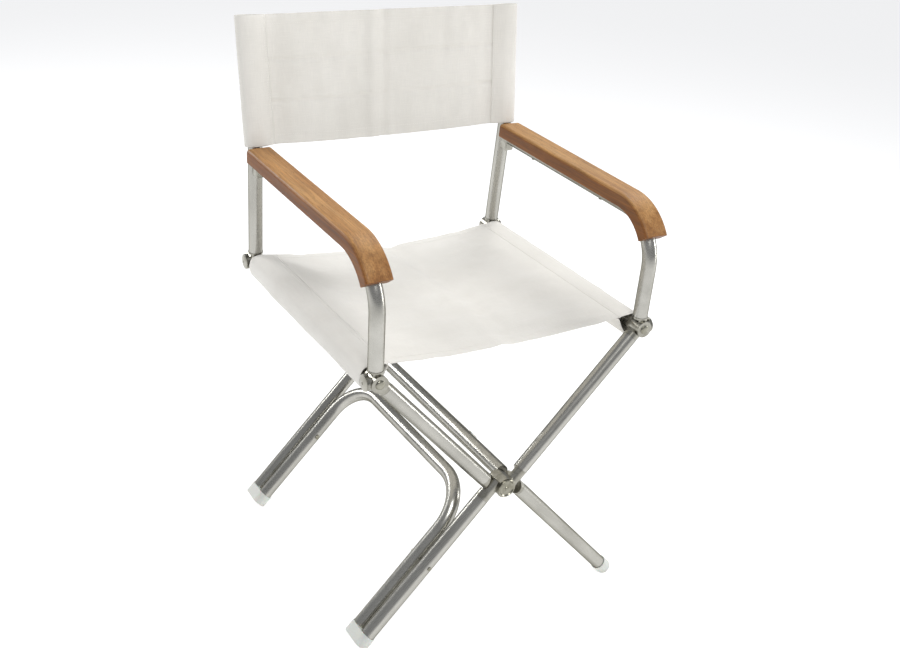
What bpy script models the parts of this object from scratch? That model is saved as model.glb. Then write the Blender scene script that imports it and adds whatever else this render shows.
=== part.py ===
"""Folding director chair: round aluminium tube, teak armrests, canvas seat and back.

Metres, +Z up, the floor at z = 0. The chair faces -Y. Left and right are those of somebody who
stands in front of the chair and looks at it, so the right side is +X.

Two leg frames cross like scissors. Frame A carries the right rail and stands on the left feet;
frame B carries the left rail and stands on the right feet. Each leg is two straight tubes that are
set one tube radius to either side of the pivot, so that the folded legs lie side by side.
"""

import math

import bmesh
import bpy
from mathutils import Matrix, Vector

# ---- driving dimensions ----------------------------------------------------------------------
TUBE_R = 0.011  # 22 mm round tube
GAP = 0.0003  # clearance between pieces that touch
SIDES = 24  # facets round a tube

MIDDLE_Y = -0.0083  # the legs' middle, set so that the whole chair is centred on the origin
RAIL_X = 0.218  # seat rails, left and right of the middle
RAIL_Z = 0.448  # height of the seat rails' axes
PIVOT_Z = 0.229  # height of the scissor pivots
LEG_Y = 0.212  # the leg planes, in front of and behind the middle
JOG = 0.012  # each half leg's distance from the pivot axis

BARREL_R = 0.0125  # hinge barrels of the castings
TONGUE_HALF = 0.0067  # half the width of a leg's eye
SLOT_HALF = 0.0070  # half the width of the fork that holds it
EAR = 0.0140  # inner and outer faces of a fork, from the leg plane
BOSS_R = 0.0120  # the boss on a fork's outboard side
BOSS_IN = 0.0134  # the fork's slot ends here, from the rail's axis
BOSS_OUT = 0.0150
BOSS_CAP_T = 0.0042
PIN_R = 0.0040
PIN_HOLE_R = 0.0043
RIVET_R = 0.0068  # heads of the hinge pins
RIVET_T = 0.0020

NECK_Z = 0.0132  # underside of the bridge over a fork
SEAM_Z = 0.0165  # where a post tube starts, above the rail's axis

HUB_R = 0.0160
HUB_FACE = 0.0145  # outer faces of a hub, from the leg plane
HUB_ARM = 0.0345  # a hub's arms end here, from the pivot
HUB_CLEAR_R = 0.0318  # the two halves of a hub pass each other inside this radius
HUB_HEAD_R = 0.0148  # the dished heads on the hubs' faces
EYE_COLLAR = 0.0200  # a leg tube starts here, from the rail's axis

FOOT_S = 0.3155  # end of a foot cap, measured down the leg from the pivot
CAP_LENGTH = 0.0190
CAP_WALL = 0.0015
CAP_BASE = 0.0100

BRACE_Y = 0.186  # arms of the U-shaped brace
BRACE_S = 0.044  # its cross run, measured down the leg from the pivot
BRACE_BEND = 0.068
BRACE_BOLT_S = 0.163

SPLAY = math.radians(1.3)  # the side frames lean out a little
POST_Y = 0.2112  # front posts
ARM_Z = 0.164  # arm tubes behind their bends, above the rail's axis
ARM_RISE = math.radians(1.0)  # how much an arm climbs towards the rear
ARM_BEND = 0.0705
ARM_END_Y = 0.1740
BACK_POST_Y = 0.2098  # foot of a back post
BACK_LEAN = 0.0445  # a back post leans forward by this slope up to its bend
BACK_BEND_Z = 0.190
BACK_BEND_R = 0.050
BACK_TOP_Y = 0.2309
BACK_TOP_Z = 0.3715
BRACKET_HALF = 0.0080  # half the width of the casting between arm and back post
BRACKET_DROP = 0.0230
BRACKET_STEP = 0.0045  # its foot starts this far behind the arm tube's end

WOOD_HALF = 0.0200
WOOD_BOTTOM = 0.0015  # above the arm tube's axis
WOOD_TOP = 0.0235
WOOD_ROUND = 0.0055
WOOD_REAR_Y = 0.1850
WOOD_SWEEP = math.radians(56)  # how far the armrest follows the bend
SCREW_PLACES = (-0.080, 0.105)

SEAT_FRONT_Y = -0.1965
SEAT_REAR_Y = 0.1965
SEAT_SAG = 0.012
SLEEVE_HALF_X = 0.0150
SLEEVE_TOP = 0.0145
SLEEVE_BOTTOM = 0.0240
SLEEVE_HOLE_R = 0.0117
CLOTH_T = 0.0030
BACK_CLOTH_BOTTOM = 0.1915  # above the rail's axis
BACK_CLOTH_TOP = 0.3795
BACK_SLEEVE_R = 0.0140
BACK_CURVE = 0.012  # the back cloth's middle lies this far behind its edges

# ---- derived ---------------------------------------------------------------------------------
REACH = math.hypot(RAIL_X, RAIL_Z - PIVOT_Z)
LEG_ANGLE = math.atan2(RAIL_Z - PIVOT_Z, RAIL_X) + math.asin(JOG / REACH)
UPPER = math.sqrt(REACH**2 - JOG**2)  # from a leg's tangent point up to the rail's axis
RAKE = (BACK_TOP_Y - BACK_POST_Y + BACK_LEAN * BACK_BEND_Z) / (BACK_TOP_Z - BACK_BEND_Z)

for old in list(bpy.data.objects):
    bpy.data.objects.remove(old, do_unlink=True)

chair = bpy.data.collections.new("director_chair")
cutters = bpy.data.collections.new("cutters")
bpy.context.scene.collection.children.link(chair)
bpy.context.scene.collection.children.link(cutters)


# ---- materials -------------------------------------------------------------------------------
def material(name, colour, roughness, metallic):
    made = bpy.data.materials.new(name)
    made.use_nodes = True
    shader = made.node_tree.nodes["Principled BSDF"]
    shader.inputs["Base Color"].default_value = (*colour, 1)
    shader.inputs["Roughness"].default_value = roughness
    shader.inputs["Metallic"].default_value = metallic
    return made


ALUMINIUM = material("anodised_aluminium", (0.62, 0.62, 0.60), 0.32, 1.0)
CASTING = material("cast_aluminium", (0.50, 0.49, 0.46), 0.42, 1.0)
STEEL = material("stainless_steel", (0.60, 0.60, 0.60), 0.25, 1.0)
TEAK = material("teak", (0.50, 0.25, 0.10), 0.50, 0.0)
CANVAS = material("canvas", (0.83, 0.81, 0.77), 0.85, 0.0)
PLASTIC = material("pale_plastic", (0.80, 0.81, 0.78), 0.45, 0.0)


# ---- making and joining solids ---------------------------------------------------------------
def place(obj, collection, parent):
    collection.objects.link(obj)
    obj.parent = parent


def shade(obj):
    obj.data.shade_smooth()
    obj.data.set_sharp_from_angle(angle=math.radians(35))


def finish(obj, look, parent):
    obj.data.materials.clear()
    obj.data.materials.append(look)
    place(obj, chair, parent)
    return obj


def rod(name, radius, start, end, sides=SIDES):
    """A closed cylinder from start to end, as an object that is in no collection yet."""
    start, end = Vector(start), Vector(end)
    mesh = bpy.data.meshes.new(name)
    bm = bmesh.new()
    bmesh.ops.create_cone(
        bm,
        cap_ends=True,
        segments=sides,
        radius1=radius,
        radius2=radius,
        depth=(end - start).length,
    )
    bm.to_mesh(mesh)
    bm.free()
    obj = bpy.data.objects.new(name, mesh)
    obj.location = (start + end) / 2
    obj.rotation_mode = "QUATERNION"
    obj.rotation_quaternion = (end - start).to_track_quat("Z", "Y")
    shade(obj)
    return obj


def block(name, size, centre, turn=None):
    mesh = bpy.data.meshes.new(name)
    bm = bmesh.new()
    bmesh.ops.create_cube(bm, size=1.0, matrix=Matrix.Diagonal((*size, 1)))
    bm.to_mesh(mesh)
    bm.free()
    obj = bpy.data.objects.new(name, mesh)
    obj.location = centre
    if turn is not None:
        obj.rotation_mode = "QUATERNION"
        obj.rotation_quaternion = turn
    return obj


def turned(name, profile, base, axis):
    """A solid of revolution. profile lists (radius, height) from the top of its outer side down."""
    mesh = bpy.data.meshes.new(name)
    bm = bmesh.new()
    corners = [bm.verts.new((radius, 0, height)) for radius, height in profile]
    for first, second in zip(corners, corners[1:]):
        bm.edges.new((first, second))
    bm.to_mesh(mesh)
    bm.free()
    obj = bpy.data.objects.new(name, mesh)
    screw = obj.modifiers.new("turn", "SCREW")
    screw.steps = screw.render_steps = SIDES
    screw.use_merge_vertices = True
    screw.merge_threshold = 0.00001
    screw.use_smooth_shade = True
    obj.location = base
    obj.rotation_mode = "QUATERNION"
    obj.rotation_quaternion = Vector(axis).to_track_quat("Z", "Y")
    return obj


def tool(obj, parent):
    """Hides a solid that only cuts or adds to another one."""
    place(obj, cutters, parent)
    obj.hide_render = True
    obj.display_type = "WIRE"
    return obj


def combine(obj, operation, *tools):
    for other in tools:
        step = obj.modifiers.new(other.name, "BOOLEAN")
        step.operation = operation
        step.solver = "EXACT"
        step.object = other
    return obj


def soften(obj, width, degrees=40):
    """Rounds the edges that are sharper than the angle."""
    bevel = obj.modifiers.new("rounded_edges", "BEVEL")
    bevel.width = width
    bevel.segments = 2
    bevel.limit_method = "ANGLE"
    bevel.angle_limit = math.radians(degrees)
    return obj


def curve(name, points, parent):
    data = bpy.data.curves.new(name, "CURVE")
    data.dimensions = "3D"
    spline = data.splines.new("POLY")
    spline.points.add(len(points) - 1)
    for point, where in zip(spline.points, points):
        point.co = (*where, 1)
    obj = bpy.data.objects.new(name, data)
    obj.parent = parent
    return obj


def as_mesh(obj):
    """Replaces a curve by a closed mesh with welded caps."""
    bpy.context.scene.collection.objects.link(obj)
    bpy.context.view_layer.update()
    shaped = obj.evaluated_get(bpy.context.evaluated_depsgraph_get())
    mesh = bpy.data.meshes.new_from_object(shaped)
    bm = bmesh.new()
    bm.from_mesh(mesh)
    bmesh.ops.remove_doubles(bm, verts=bm.verts, dist=0.00001)
    bmesh.ops.recalc_face_normals(bm, faces=bm.faces)
    bm.to_mesh(mesh)
    bm.free()
    name = obj.name
    bpy.data.objects.remove(obj, do_unlink=True)
    made = bpy.data.objects.new(name, mesh)
    shade(made)
    return made


def bent_tube(name, points, parent):
    path = curve(name, points, None)
    path.data.bevel_depth = TUBE_R
    path.data.bevel_resolution = SIDES // 2 - 2
    path.data.use_fill_caps = True
    return finish(as_mesh(path), ALUMINIUM, parent)


def outline_solid(name, outlines, half_length):
    """A flat outline with holes, extruded both ways along its own Z."""
    data = bpy.data.curves.new(name, "CURVE")
    data.dimensions = "2D"
    data.fill_mode = "BOTH"
    data.extrude = half_length
    for points in outlines:
        spline = data.splines.new("POLY")
        spline.points.add(len(points) - 1)
        for point, (x, y) in zip(spline.points, points):
            point.co = (x, y, 0, 1)
        spline.use_cyclic_u = True
    return as_mesh(bpy.data.objects.new(name, data))


def ring(x, y, radius, count=24):
    turns = [2 * math.pi * i / count for i in range(count)]
    return [(x + radius * math.cos(t), y + radius * math.sin(t)) for t in turns]


def stadium(spread, radius, count=24):
    """Two half circles, spread to either side of the middle along x, joined by straight sides."""
    outline = []
    for side, start in ((1, -math.pi / 2), (-1, math.pi / 2)):
        turns = [start + 2 * math.pi * i / count for i in range(count // 2 + 1)]
        outline += [(side * spread + radius * math.cos(t), radius * math.sin(t)) for t in turns]
    if spread == 0:
        return ring(0, 0, radius, count)
    return outline


def arc(centre, radius, start, end, count, across, up):
    """Points on an arc, with its angles counted from across towards up."""
    across, up, centre = Vector(across), Vector(up), Vector(centre)
    turns = [start + (end - start) * i / count for i in range(count + 1)]
    return [centre + radius * (math.cos(t) * across + math.sin(t) * up) for t in turns]


# ---- frames of reference ---------------------------------------------------------------------
def guide(name, location, lean=0.0):
    empty = bpy.data.objects.new(name, None)
    empty.location = location
    empty.rotation_euler.y = lean
    place(empty, chair, None)
    return empty


SIDE_NAMES = {-1: "left", 1: "right"}
END_NAMES = {-1: "front", 1: "rear"}
pivot = guide("pivot_axis", (0, MIDDLE_Y, PIVOT_Z))
side_frame = {
    side: guide(
        f"rail_axis_{SIDE_NAMES[side]}", (side * RAIL_X, MIDDLE_Y, RAIL_Z), side * SPLAY
    )
    for side in SIDE_NAMES
}


def along(side):
    """Direction up the leg of the frame whose rail is on this side, in the leg plane."""
    return Vector((side * math.cos(LEG_ANGLE), 0, math.sin(LEG_ANGLE)))


def below(side):
    """Direction square to that leg, from the pivot towards its upper half."""
    return Vector((side * math.sin(LEG_ANGLE), 0, -math.cos(LEG_ANGLE)))


def on_leg(side, half, distance, y):
    """A point on a leg's axis, distance from the pivot, in the upper (1) or lower (-1) half."""
    return half * (JOG * below(side) + distance * along(side)) + Vector((0, y, 0))


# ---- leg frames ------------------------------------------------------------------------------
def leg_tubes(frame, side, end):
    y = end * LEG_Y
    name = f"leg_{frame}_{END_NAMES[end]}"
    upper = rod(
        f"{name}_upper",
        TUBE_R,
        on_leg(side, 1, HUB_ARM + GAP, y),
        on_leg(side, 1, UPPER - EYE_COLLAR - GAP, y),
    )
    lower = rod(
        f"{name}_lower",
        TUBE_R,
        on_leg(side, -1, HUB_ARM + GAP, y),
        on_leg(side, -1, FOOT_S - CAP_BASE - GAP, y),
    )
    finish(upper, ALUMINIUM, pivot)
    return finish(lower, ALUMINIUM, pivot)


def leg_eye(frame, side, end):
    """The tongue on top of a leg, which turns in the fork on the rail."""
    y = end * LEG_Y
    name = f"leg_eye_{frame}_{END_NAMES[end]}"
    axis = on_leg(side, 1, UPPER, y)
    wide = Vector((0, TONGUE_HALF, 0))
    eye = rod(name, BARREL_R, axis - wide, axis + wide)
    turn = along(side).to_track_quat("Z", "Y")
    neck = block(
        f"{name}_neck",
        (2 * TONGUE_HALF, 0.018, 0.016),
        on_leg(side, 1, UPPER - 0.008, y),
        turn,
    )
    collar = rod(
        f"{name}_collar",
        TUBE_R,
        on_leg(side, 1, UPPER - EYE_COLLAR, y),
        on_leg(side, 1, UPPER - BARREL_R - 0.0010, y),
    )
    hole = rod(f"{name}_hole", PIN_HOLE_R, axis - 2 * wide, axis + 2 * wide)
    combine(eye, "UNION", tool(neck, pivot), tool(collar, pivot))
    combine(eye, "DIFFERENCE", tool(hole, pivot))
    return finish(eye, CASTING, pivot)


def hub(frame, side, end):
    """One half of a scissor joint: frame A has the outer half, frame B the inner one."""
    y = end * LEG_Y
    outer = end if frame == "A" else -end
    name = f"hub_{frame}_{END_NAMES[end]}"
    inner_face = y + outer * GAP * 0.7
    outer_face = y + outer * HUB_FACE
    body = rod(name, HUB_R, (0, inner_face, 0), (0, outer_face, 0))
    arms = [
        rod(
            f"{name}_arm_{half}",
            TUBE_R,
            on_leg(side, half, 0, y),
            on_leg(side, half, HUB_ARM, y),
        )
        for half in (1, -1)
    ]
    passing = rod(
        f"{name}_clearance",
        HUB_CLEAR_R,
        (0, inner_face, 0),
        (0, y - outer * 2 * TUBE_R, 0),
    )
    hole = rod(f"{name}_hole", PIN_HOLE_R, (0, y - 0.03, 0), (0, y + 0.03, 0))
    combine(body, "UNION", *[tool(arm, pivot) for arm in arms])
    combine(body, "DIFFERENCE", tool(passing, pivot), tool(hole, pivot))
    return finish(body, CASTING, pivot)


def headed_pin(name, head, start, end, parent, look):
    """A pin with a turned head that stands on start and a shank that runs to end.

    head lists the (radius, height) points of the head's outline, from its middle outwards.
    """
    start, end = Vector(start), Vector(end)
    length = (end - start).length
    outline = [*head, (PIN_R, 0.0), (PIN_R, -length), (0.0, -length)]
    return finish(turned(name, outline, start, start - end), look, parent)


def dome(radius, height):
    return [
        (0.0, height),
        (0.45 * radius, 0.94 * height),
        (0.80 * radius, 0.70 * height),
        (0.95 * radius, 0.40 * height),
        (radius, 0.0),
    ]


def hub_pin(end):
    """The rivet through a hub: a dished head with a raised rim and a button in its middle."""
    y = end * LEG_Y
    outside = (0, y + end * (HUB_FACE + GAP), 0)
    inside = (0, y - end * (HUB_FACE - 0.0008), 0)
    dish, rim = 0.0009, 0.0024
    head = [
        (0.0, 0.0026),
        (0.0022, 0.0024),
        (0.0034, dish),
        (HUB_HEAD_R - 0.0038, dish),
        (HUB_HEAD_R - 0.0024, rim),
        (HUB_HEAD_R - 0.0010, rim),
        (HUB_HEAD_R, rim - 0.0010),
        (HUB_HEAD_R, 0.0),
    ]
    return headed_pin(f"hub_pin_{END_NAMES[end]}", head, outside, inside, pivot, STEEL)


def foot_cap(frame, side, end, members):
    """A plastic cap over one tube end, or over a leg and the brace beside it."""
    y_places = [end * y for y in members]
    name = f"foot_cap_{SIDE_NAMES[-side]}_{END_NAMES[end]}"
    top, bottom = FOOT_S - CAP_LENGTH, FOOT_S
    radius = TUBE_R + CAP_WALL
    spread = (max(y_places) - min(y_places)) / 2
    middle = on_leg(side, -1, (top + bottom) / 2, sum(y_places) / len(y_places))
    cap = outline_solid(name, [stadium(spread, radius)], CAP_LENGTH / 2)
    cap.location = middle
    cap.rotation_mode = "QUATERNION"
    cap.rotation_quaternion = along(side).to_track_quat("Z", "Y")
    soften(cap, 0.0028, 60)
    for i, y in enumerate(y_places):
        socket = rod(
            f"{name}_socket_{i}",
            TUBE_R + GAP,
            on_leg(side, -1, top - 0.01, y),
            on_leg(side, -1, FOOT_S - CAP_BASE, y),
        )
        combine(cap, "DIFFERENCE", tool(socket, pivot))
    ground = block(f"{name}_floor", (0.1, 0.12, 0.04), (-side * RAIL_X, end * LEG_Y, -PIVOT_Z - 0.02))
    combine(cap, "DIFFERENCE", tool(ground, pivot))
    return finish(cap, PLASTIC, pivot)


def brace():
    """The U-shaped tube between frame A's lower legs."""
    side = 1
    foot = FOOT_S - CAP_BASE - GAP
    down, wide = -along(side), Vector((0, 1, 0))
    bend_s = BRACE_S + BRACE_BEND
    bend_y = BRACE_Y - BRACE_BEND
    points = [on_leg(side, -1, foot, -BRACE_Y)]
    points += arc(
        on_leg(side, -1, bend_s, -bend_y), BRACE_BEND, 0, math.pi / 2, 12, -wide, -down
    )
    points += arc(
        on_leg(side, -1, bend_s, bend_y), BRACE_BEND, math.pi / 2, 0, 12, wide, -down
    )
    points.append(on_leg(side, -1, foot, BRACE_Y))
    return bent_tube("u_brace", points, pivot)


def brace_bolt(end, leg, brace_tube):
    """A rivet through the brace and the leg beside it, with low heads."""
    name = f"brace_bolt_{END_NAMES[end]}"
    inside = on_leg(1, -1, BRACE_BOLT_S, end * (BRACE_Y - TUBE_R - GAP))
    outside = on_leg(1, -1, BRACE_BOLT_S, end * (LEG_Y + TUBE_R + GAP))
    shank_r = 0.0024
    out = (outside - inside).normalized()
    shank = rod(name, shank_r, inside - 0.0007 * out, outside + 0.0004 * out, 16)
    head = rod(f"{name}_head", 0.0040, inside - 0.0014 * out, inside, 16)
    tail = rod(f"{name}_tail", 0.0032, outside, outside + 0.0007 * out, 16)
    combine(shank, "UNION", tool(head, pivot), tool(tail, pivot))
    hole = rod(f"{name}_hole", shank_r + GAP, inside - 0.01 * out, outside + 0.01 * out, 16)
    tool(hole, pivot)
    combine(leg, "DIFFERENCE", hole)
    combine(brace_tube, "DIFFERENCE", hole)
    return finish(shank, STEEL, pivot)


def stretcher():
    """The tube that joins frame B's front and rear hubs, in line with its lower legs."""
    reach = LEG_Y - HUB_FACE - GAP
    return finish(
        rod("stretcher", TUBE_R, on_leg(-1, -1, 0, -reach), on_leg(-1, -1, 0, reach)),
        ALUMINIUM,
        pivot,
    )


# ---- side frames: rail, posts, arm, all in the side's own frame ---------------------------------
def rail(side):
    reach = LEG_Y - EAR - GAP
    name = f"seat_rail_{SIDE_NAMES[side]}"
    return finish(rod(name, TUBE_R, (0, -reach, 0), (0, reach, 0)), ALUMINIUM, side_frame[side])


def post_fork(side, end):
    """The casting that holds a post and forks over the leg's eye, with a boss on its outboard side."""
    parent = side_frame[side]
    name = f"post_fork_{SIDE_NAMES[side]}_{END_NAMES[end]}"
    y = end * LEG_Y
    body = rod(name, BARREL_R, (0, y - EAR, 0), (0, y + EAR, 0))
    seam = post_point(end, SEAM_Z)
    neck = rod(f"{name}_neck", TUBE_R, post_point(end, 0), seam)
    lip = rod(f"{name}_lip", TUBE_R + 0.0007, post_point(end, SEAM_Z - 0.0022), seam)
    boss = rod(f"{name}_boss", BOSS_R, (0, y, 0), (side * BOSS_OUT, y, 0))
    reach = 0.05
    slot = block(
        f"{name}_slot",
        (reach + BOSS_IN, 2 * SLOT_HALF, reach + NECK_Z),
        (side * (BOSS_IN - reach) / 2, y, (NECK_Z - reach) / 2),
    )
    hole = rod(f"{name}_hole", PIN_HOLE_R, (0, y - 0.05, 0), (0, y + 0.05, 0))
    combine(body, "UNION", tool(neck, parent), tool(lip, parent), tool(boss, parent))
    combine(body, "DIFFERENCE", tool(slot, parent), tool(hole, parent))
    return finish(body, CASTING, parent)


def boss_cap(side, end):
    """The domed cap on a fork's boss, with a groove round it and a small hole in its middle."""
    y = end * LEG_Y
    top = BOSS_CAP_T
    outline = [
        (0.0, top - 0.0016),
        (0.0014, top - 0.0016),
        (0.0018, top),
        (0.0070, top - 0.0003),
        (0.0100, top - 0.0012),
        (BOSS_R - 0.0004, 0.0024),
        (BOSS_R - 0.0008, 0.0020),
        (BOSS_R - 0.0008, 0.0014),
        (BOSS_R, 0.0010),
        (BOSS_R, 0.0),
        (0.0, 0.0),
    ]
    name = f"boss_cap_{SIDE_NAMES[side]}_{END_NAMES[end]}"
    base = (side * (BOSS_OUT + GAP), y, 0)
    return finish(turned(name, outline, base, (side, 0, 0)), CASTING, side_frame[side])


def post_point(end, z):
    """The axis of the front (-1) or back (1) post at a height above the rail."""
    if end < 0:
        return Vector((0, -POST_Y, z))
    return Vector((0, BACK_POST_Y - BACK_LEAN * z, z))


def hinge_pin(side, end):
    y = end * LEG_Y
    face = (0, y + end * (EAR + GAP), 0)
    inside = (0, y - end * (EAR - 0.0008), 0)
    name = f"hinge_pin_{SIDE_NAMES[side]}_{END_NAMES[end]}"
    return headed_pin(name, dome(RIVET_R, RIVET_T), face, inside, side_frame[side], STEEL)


def arm_height(y):
    """Height of an arm's axis at y, behind its bend."""
    return ARM_Z + (y + POST_Y - ARM_BEND) * math.tan(ARM_RISE)


def arm_path(start_z, end_y, sweep_only=None):
    """The axis of a front post that bends back into the arm."""
    centre = Vector((0, -POST_Y + ARM_BEND, ARM_Z - ARM_BEND))
    ahead, up = Vector((0, -1, 0)), Vector((0, 0, 1))
    last = math.pi / 2 - ARM_RISE
    first = 0.0 if sweep_only is None else last - sweep_only
    points = arc(centre, ARM_BEND, first, last, 12, ahead, up)
    if sweep_only is None:
        points.insert(0, Vector((0, -POST_Y, start_z)))
    points.append(Vector((0, end_y, arm_height(end_y))))
    return points


def arm_tube(side):
    points = arm_path(SEAM_Z + GAP, ARM_END_Y)
    tube = bent_tube(f"arm_tube_{SIDE_NAMES[side]}", points, side_frame[side])
    return tube


def wood_section():
    """Half of the armrest's cross-section and its mirror image: x across, y away from the tube."""
    groove_r = TUBE_R + 2 * GAP
    groove_from = math.asin(WOOD_BOTTOM / groove_r)
    corner = Vector((WOOD_HALF - WOOD_ROUND, WOOD_TOP - WOOD_ROUND, 0))
    half = arc((0, 0, 0), groove_r, math.pi / 2, groove_from, 6, (1, 0, 0), (0, 1, 0))
    half.append(Vector((WOOD_HALF - 0.0015, WOOD_BOTTOM, 0)))
    half.append(Vector((WOOD_HALF, WOOD_BOTTOM + 0.0015, 0)))
    half += arc(corner, WOOD_ROUND, 0, math.pi / 2, 4, (1, 0, 0), (0, 1, 0))
    other = [Vector((-point.x, point.y, 0)) for point in reversed(half[1:])]
    return half + other


def armrest(side):
    name = f"armrest_{SIDE_NAMES[side]}"
    section = bpy.data.curves.new(f"{name}_section", "CURVE")
    section.dimensions = "2D"
    outline = section.splines.new("POLY")
    corners = wood_section()
    outline.points.add(len(corners) - 1)
    for point, where in zip(outline.points, corners):
        point.co = (*where, 1)
    outline.use_cyclic_u = True
    section_object = bpy.data.objects.new(f"{name}_section", section)
    bpy.context.scene.collection.objects.link(section_object)
    path = curve(name, arm_path(None, WOOD_REAR_Y, WOOD_SWEEP), None)
    path.data.twist_mode = "Z_UP"
    path.data.bevel_mode = "OBJECT"
    path.data.bevel_object = section_object
    path.data.use_fill_caps = True
    wood = as_mesh(path)
    bpy.data.objects.remove(section_object, do_unlink=True)
    soften(wood, 0.0020, 50)
    return finish(wood, TEAK, side_frame[side])


def armrest_screw(side, number, y, tube, wood):
    """A screw from below, through the arm tube, into the armrest."""
    parent = side_frame[side]
    name = f"armrest_screw_{SIDE_NAMES[side]}_{number}"
    under = arm_height(y) - TUBE_R - GAP
    tip = arm_height(y) + WOOD_TOP - 0.0060
    shank_r = 0.0020
    shank = rod(name, shank_r, (0, y, under - 0.0002), (0, y, tip), 12)
    head = rod(f"{name}_head", 0.0036, (0, y, under - 0.0010), (0, y, under), 16)
    combine(shank, "UNION", tool(head, parent))
    hole = rod(f"{name}_hole", shank_r + GAP, (0, y, under - 0.01), (0, y, tip + GAP), 12)
    tool(hole, parent)
    combine(tube, "DIFFERENCE", hole)
    combine(wood, "DIFFERENCE", hole)
    return finish(shank, STEEL, parent)


def back_post(side):
    bend = post_point(1, BACK_BEND_Z)
    lower = Vector((0, -BACK_LEAN, 1)).normalized()
    upper = Vector((0, RAKE, 1)).normalized()
    turn = lower.angle(upper)
    tangent = BACK_BEND_R * math.tan(turn / 2)
    back = Vector((0, upper.z, -upper.y))
    centre = bend + tangent * upper + BACK_BEND_R * back
    points = [post_point(1, SEAM_Z + GAP)]
    points += arc(centre, BACK_BEND_R, math.pi + turn, math.pi, 5, back, upper)
    points.append(Vector((0, BACK_TOP_Y, BACK_TOP_Z)))
    return bent_tube(f"back_post_{SIDE_NAMES[side]}", points, side_frame[side])


def post_plug(side):
    """The cap on top of a back post, inside the back cloth's sleeve."""
    up = Vector((0, RAKE, 1)).normalized()
    base = Vector((0, BACK_TOP_Y, BACK_TOP_Z)) + GAP * up
    profile = [(0.0, 0.0040), (0.0080, 0.0037), (0.0104, 0.0022), (TUBE_R, 0.0), (0.0, 0.0)]
    name = f"post_plug_{SIDE_NAMES[side]}"
    return finish(turned(name, profile, base, up), PLASTIC, side_frame[side])


def arm_bracket(side):
    """The casting between the arm tube's end and the back post, with a foot down the post."""
    parent = side_frame[side]
    name = f"arm_bracket_{SIDE_NAMES[side]}"
    top = arm_height(BACK_POST_Y)
    centre = post_point(1, top)
    start = Vector((0, ARM_END_Y + GAP, arm_height(ARM_END_Y)))
    body = rod(name, TUBE_R, start, centre)
    depth = centre.y - start.y
    foot = block(
        f"{name}_foot",
        (2 * BRACKET_HALF, depth, BRACKET_DROP),
        (0, centre.y - depth / 2 + BRACKET_STEP, top - BRACKET_DROP / 2),
    )
    low, high = post_point(1, top - 0.06), post_point(1, top + 0.02)
    bore = rod(f"{name}_bore", TUBE_R + GAP, low, high)
    behind = block(f"{name}_behind", (0.06, 0.04, 0.10), (0, centre.y + 0.02, top))
    soften(foot, 0.0030)
    combine(body, "UNION", tool(foot, parent))
    combine(body, "DIFFERENCE", tool(bore, parent), tool(behind, parent))
    return finish(body, CASTING, parent)


# ---- cloth -----------------------------------------------------------------------------------
def seat_outline():
    """The seat's section from the front: a sagging panel between two sleeves."""
    steps = 12
    span = RAIL_X - SLEEVE_HALF_X * 0.6
    top = SLEEVE_TOP - 0.0035
    panel = [span * (1 - 2 * i / steps) for i in range(steps + 1)]

    def height(x):
        return top - SEAT_SAG * (1 - (x / span) ** 2)

    def sleeve(side, first, last):
        count = 14
        middle = (SLEEVE_TOP - SLEEVE_BOTTOM) / 2
        half = (SLEEVE_TOP + SLEEVE_BOTTOM) / 2
        turns = [first + (last - first) * i / count for i in range(count + 1)]
        return [
            (side * (RAIL_X + SLEEVE_HALF_X * math.cos(t)), middle + half * math.sin(t))
            for t in turns
        ]

    start, stop = math.radians(125), math.radians(-215)
    right = sleeve(1, start, math.radians(-205))
    left = sleeve(-1, math.radians(-205), start)
    upper = [(x, height(x)) for x in reversed(panel[1:-1])]
    lower = [(x, height(x) - CLOTH_T) for x in panel[1:-1]]
    return right + lower + left + upper


def seat_cloth():
    holes = [ring(side * RAIL_X, 0, SLEEVE_HOLE_R) for side in (1, -1)]
    half = (SEAT_REAR_Y - SEAT_FRONT_Y) / 2
    cloth = outline_solid("seat_cloth", [seat_outline(), *holes], half)
    cloth.location = (0, MIDDLE_Y + (SEAT_REAR_Y + SEAT_FRONT_Y) / 2, RAIL_Z)
    cloth.rotation_euler.x = math.pi / 2
    return finish(cloth, CANVAS, None)


def back_outline():
    """The back's section from above, y to the rear: a slack panel between two sleeves."""
    steps = 12
    span = RAIL_X - BACK_SLEEVE_R * 0.55
    panel = [span * (1 - 2 * i / steps) for i in range(steps + 1)]
    front = -BACK_SLEEVE_R * 0.83

    def depth(x):
        return front + BACK_CURVE * (1 - (x / span) ** 2)

    def sleeve(side, first, last):
        turns = [first + (last - first) * i / 14 for i in range(15)]
        return [
            (side * (RAIL_X + BACK_SLEEVE_R * math.cos(t)), BACK_SLEEVE_R * math.sin(t))
            for t in turns
        ]

    right = sleeve(1, math.radians(-123), math.radians(202))
    left = sleeve(-1, math.radians(202), math.radians(-123))
    rear = [(x, depth(x) + CLOTH_T) for x in panel[1:-1]]
    face = [(x, depth(x)) for x in reversed(panel[1:-1])]
    return right + rear + left + face


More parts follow.
